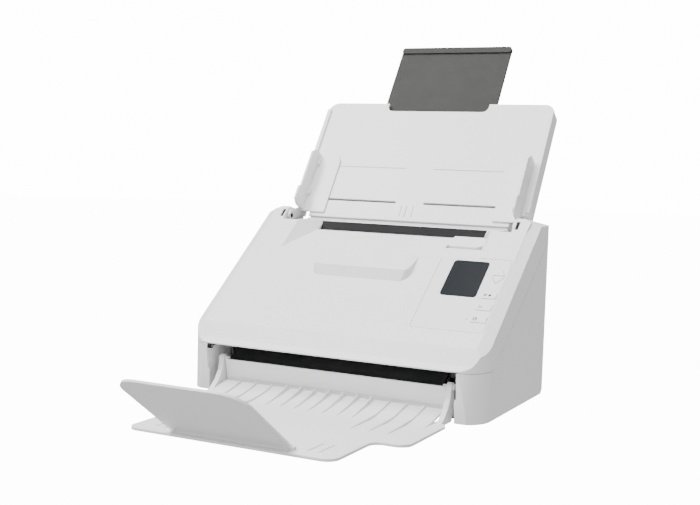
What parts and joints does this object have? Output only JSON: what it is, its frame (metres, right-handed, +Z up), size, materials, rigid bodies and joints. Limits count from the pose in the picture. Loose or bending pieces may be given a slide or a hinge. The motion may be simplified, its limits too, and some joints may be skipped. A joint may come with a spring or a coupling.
{
  "type": "document scanner",
  "caption": "White desktop sheet-fed document scanner with a folding input tray, pull-out extension, side guides, display and a stepped output tray with a stopper",
  "frame": {"origin": "on the table under the centre of the body's footprint; the shells start 2 mm above it, on the feet", "axes": "+X to the right of someone facing the control panel, +Y to the back, +Z up; the output tray points to -Y"},
  "size_m": [0.316, 0.5525, 0.3684],
  "materials": {
    "white_plastic": "fine moulded grain, satin",
    "panel_plastic": "smoother satin film",
    "button_plastic": "smooth satin",
    "black_plastic": "fine grain",
    "grey_plastic": "brushed look, fine grain",
    "display_glass": "polished",
    "sensor_glass": "polished",
    "rubber": "ground",
    "feet_rubber": "moulded",
    "steel": "drawn",
    "zinc_steel": "zinc plated sheet",
    "gear_plastic": "natural acetal",
    "roller_plastic": "moulded",
    "circuit_board": "solder mask",
    "bush_plastic": "moulded",
    "motor_can": "painted",
    "lens_plastic": "clear tinted"
  },
  "bodies": {
    "base": {"lower_housing": "white_plastic", "bottom_cover": "black_plastic", "rubber_feet": "feet_rubber", "case_screws": "steel", "rear_cover": "white_plastic", "rear_deck": "white_plastic", "exit_panel": "white_plastic", "cover_hinge_pins": "steel", "tray_brackets": "black_plastic", "lower_paper_guide": "black_plastic", "lower_scan_module": "black_plastic", "lower_scan_glass": "sensor_glass", "side_frames": "zinc_steel", "shaft_bushes": "bush_plastic", "idler_studs": "steel", "drive_motor": "motor_can", "main_board": "circuit_board", "power_inlet": "black_plastic", "data_socket": "steel"},
    "motor_pinion": {"motor_pinion": "steel"},
    "pick_roller": {"pick_shaft": "roller_plastic", "pick_tyres": "rubber", "pick_gear": "gear_plastic"},
    "feed_roller": {"feed_shaft": "roller_plastic", "feed_tyres": "rubber", "feed_gear": "gear_plastic"},
    "exit_roller": {"exit_shaft": "roller_plastic", "exit_tyres": "rubber", "exit_gear": "gear_plastic"},
    "idler_gear_1": {"idler_gear_1": "gear_plastic"},
    "idler_gear_2": {"idler_gear_2": "gear_plastic"},
    "idler_gear_3": {"idler_gear_3": "gear_plastic"},
    "idler_gear_4": {"idler_gear_4": "gear_plastic"},
    "front_cover": {"front_cover": "white_plastic", "cover_hinge_arms": "black_plastic", "control_panel": "panel_plastic", "display_window": "display_glass", "display_module": "black_plastic", "panel_board": "circuit_board", "status_light": "lens_plastic", "upper_paper_guide": "black_plastic", "upper_scan_module": "black_plastic", "upper_scan_glass": "sensor_glass"},
    "power_button": {"power_button": "button_plastic"},
    "scan_button": {"scan_button": "button_plastic"},
    "cancel_button": {"cancel_button": "button_plastic"},
    "down_button": {"down_button": "button_plastic"},
    "up_button": {"up_button": "button_plastic"},
    "release_latch": {"release_latch": "white_plastic"},
    "separation_roller": {"separation_roller": "roller_plastic"},
    "feed_idler": {"feed_idler": "roller_plastic"},
    "exit_idler": {"exit_idler": "roller_plastic"},
    "input_tray": {"input_tray_front": "white_plastic", "input_tray_back": "white_plastic"},
    "left_paper_guide": {"left_paper_guide": "white_plastic"},
    "right_paper_guide": {"right_paper_guide": "white_plastic"},
    "guide_pinion": {"guide_pinion": "gear_plastic"},
    "tray_extension": {"tray_extension": "grey_plastic"},
    "output_tray": {"output_tray": "white_plastic"},
    "paper_stopper": {"paper_stopper": "white_plastic"}
  },
  "joints": [
    {"name": "cover_open", "type": "hinge", "parent": "base", "child": "front_cover", "pos_m": [0, -0.0915, 0.0466], "axis": [1, 0, 0], "range_deg": [0, 70]},
    {"name": "input_tray_fold", "type": "hinge", "parent": "base", "child": "input_tray", "pos_m": [0, 0.062, 0.172], "axis": [1, 0, 0], "range_deg": [0, 90]},
    {"name": "output_tray_fold", "type": "hinge", "parent": "base", "child": "output_tray", "pos_m": [0, -0.0786, 0.033], "axis": [1, 0, 0], "range_deg": [-95, 0]},
    {"name": "stopper_fold", "type": "hinge", "parent": "output_tray", "child": "paper_stopper", "pos_m": [0, -0.253, 0.004], "axis": [1, 0, 0], "range_deg": [-134, 0]},
    {"name": "guide_left", "type": "slide", "parent": "input_tray", "child": "left_paper_guide", "axis": [-1, 0, 0], "range_m": [-0.074, 0]},
    {"name": "guide_right", "type": "slide", "parent": "input_tray", "child": "right_paper_guide", "axis": [1, 0, 0], "range_m": [-0.074, 0]},
    {"name": "guide_pinion_spin", "type": "hinge", "parent": "input_tray", "child": "guide_pinion", "pos_m": [0, 0.09905, 0.1859], "axis": [0, -0.8387, 0.5446], "range_deg": [-360, 360]},
    {"name": "extension_slide", "type": "slide", "parent": "input_tray", "child": "tray_extension", "axis": [0, 0.5446, 0.8387], "range_m": [-0.074, 0]},
    {"name": "latch_press", "type": "hinge", "parent": "front_cover", "child": "release_latch", "pos_m": [0.085, 0.05154, 0.14896], "axis": [1, 0, 0], "range_deg": [-5, 0], "stiffness_Nm_per_rad": 0.05},
    {"name": "power_press", "type": "slide", "parent": "front_cover", "child": "power_button", "axis": [0, 0.617, -0.7869], "range_m": [0, 0.0007], "stiffness_N_per_m": 800},
    {"name": "scan_press", "type": "slide", "parent": "front_cover", "child": "scan_button", "axis": [0, 0.617, -0.7869], "range_m": [0, 0.0007], "stiffness_N_per_m": 800},
    {"name": "cancel_press", "type": "slide", "parent": "front_cover", "child": "cancel_button", "axis": [0, 0.617, -0.7869], "range_m": [0, 0.0007], "stiffness_N_per_m": 800},
    {"name": "down_press", "type": "slide", "parent": "front_cover", "child": "down_button", "axis": [0, 0.617, -0.7869], "range_m": [0, 0.0007], "stiffness_N_per_m": 800},
    {"name": "up_press", "type": "slide", "parent": "front_cover", "child": "up_button", "axis": [0, 0.617, -0.7869], "range_m": [0, 0.0007], "stiffness_N_per_m": 800},
    {"name": "pick_spin", "type": "hinge", "parent": "base", "child": "pick_roller", "pos_m": [0, 0.03965, 0.10948], "axis": [1, 0, 0], "continuous": true},
    {"name": "feed_spin", "type": "hinge", "parent": "base", "child": "feed_roller", "pos_m": [0, 0.01218, 0.08945], "axis": [1, 0, 0], "continuous": true},
    {"name": "exit_spin", "type": "hinge", "parent": "base", "child": "exit_roller", "pos_m": [0, -0.04277, 0.04938], "axis": [1, 0, 0], "continuous": true},
    {"name": "idler_1_spin", "type": "hinge", "parent": "base", "child": "idler_gear_1", "pos_m": [-0.143, 0.02591, 0.09946], "axis": [1, 0, 0], "continuous": true},
    {"name": "idler_2_spin", "type": "hinge", "parent": "base", "child": "idler_gear_2", "pos_m": [-0.143, -0.00156, 0.07943], "axis": [1, 0, 0], "continuous": true},
    {"name": "idler_3_spin", "type": "hinge", "parent": "base", "child": "idler_gear_3", "pos_m": [-0.143, -0.0153, 0.06941], "axis": [1, 0, 0], "continuous": true},
    {"name": "idler_4_spin", "type": "hinge", "parent": "base", "child": "idler_gear_4", "pos_m": [-0.143, -0.02903, 0.0594], "axis": [1, 0, 0], "continuous": true},
    {"name": "motor_spin", "type": "hinge", "parent": "base", "child": "motor_pinion", "pos_m": [-0.143, -0.00528, 0.05568], "axis": [1, 0, 0], "continuous": true},
    {"name": "separation_spin", "type": "hinge", "parent": "front_cover", "child": "separation_roller", "pos_m": [0, 0.02769, 0.12588], "axis": [1, 0, 0], "continuous": true},
    {"name": "feed_idler_spin", "type": "hinge", "parent": "front_cover", "child": "feed_idler", "pos_m": [0, 0.00198, 0.10343], "axis": [1, 0, 0], "continuous": true},
    {"name": "exit_idler_spin", "type": "hinge", "parent": "front_cover", "child": "exit_idler", "pos_m": [0, -0.05296, 0.06336], "axis": [1, 0, 0], "continuous": true}
  ],
  "couplings": [
    {"joint": "guide_right", "follows": "guide_left", "ratio": 1},
    {"joint": "guide_pinion_spin", "follows": "guide_left", "rad_per_m": 83.333},
    {"joint": "feed_spin", "follows": "pick_spin", "ratio": 1},
    {"joint": "exit_spin", "follows": "pick_spin", "ratio": 1},
    {"joint": "idler_1_spin", "follows": "pick_spin", "ratio": -1},
    {"joint": "idler_2_spin", "follows": "pick_spin", "ratio": -1},
    {"joint": "idler_3_spin", "follows": "pick_spin", "ratio": 1},
    {"joint": "idler_4_spin", "follows": "pick_spin", "ratio": -1},
    {"joint": "motor_spin", "follows": "pick_spin", "ratio": -1}
  ]
}
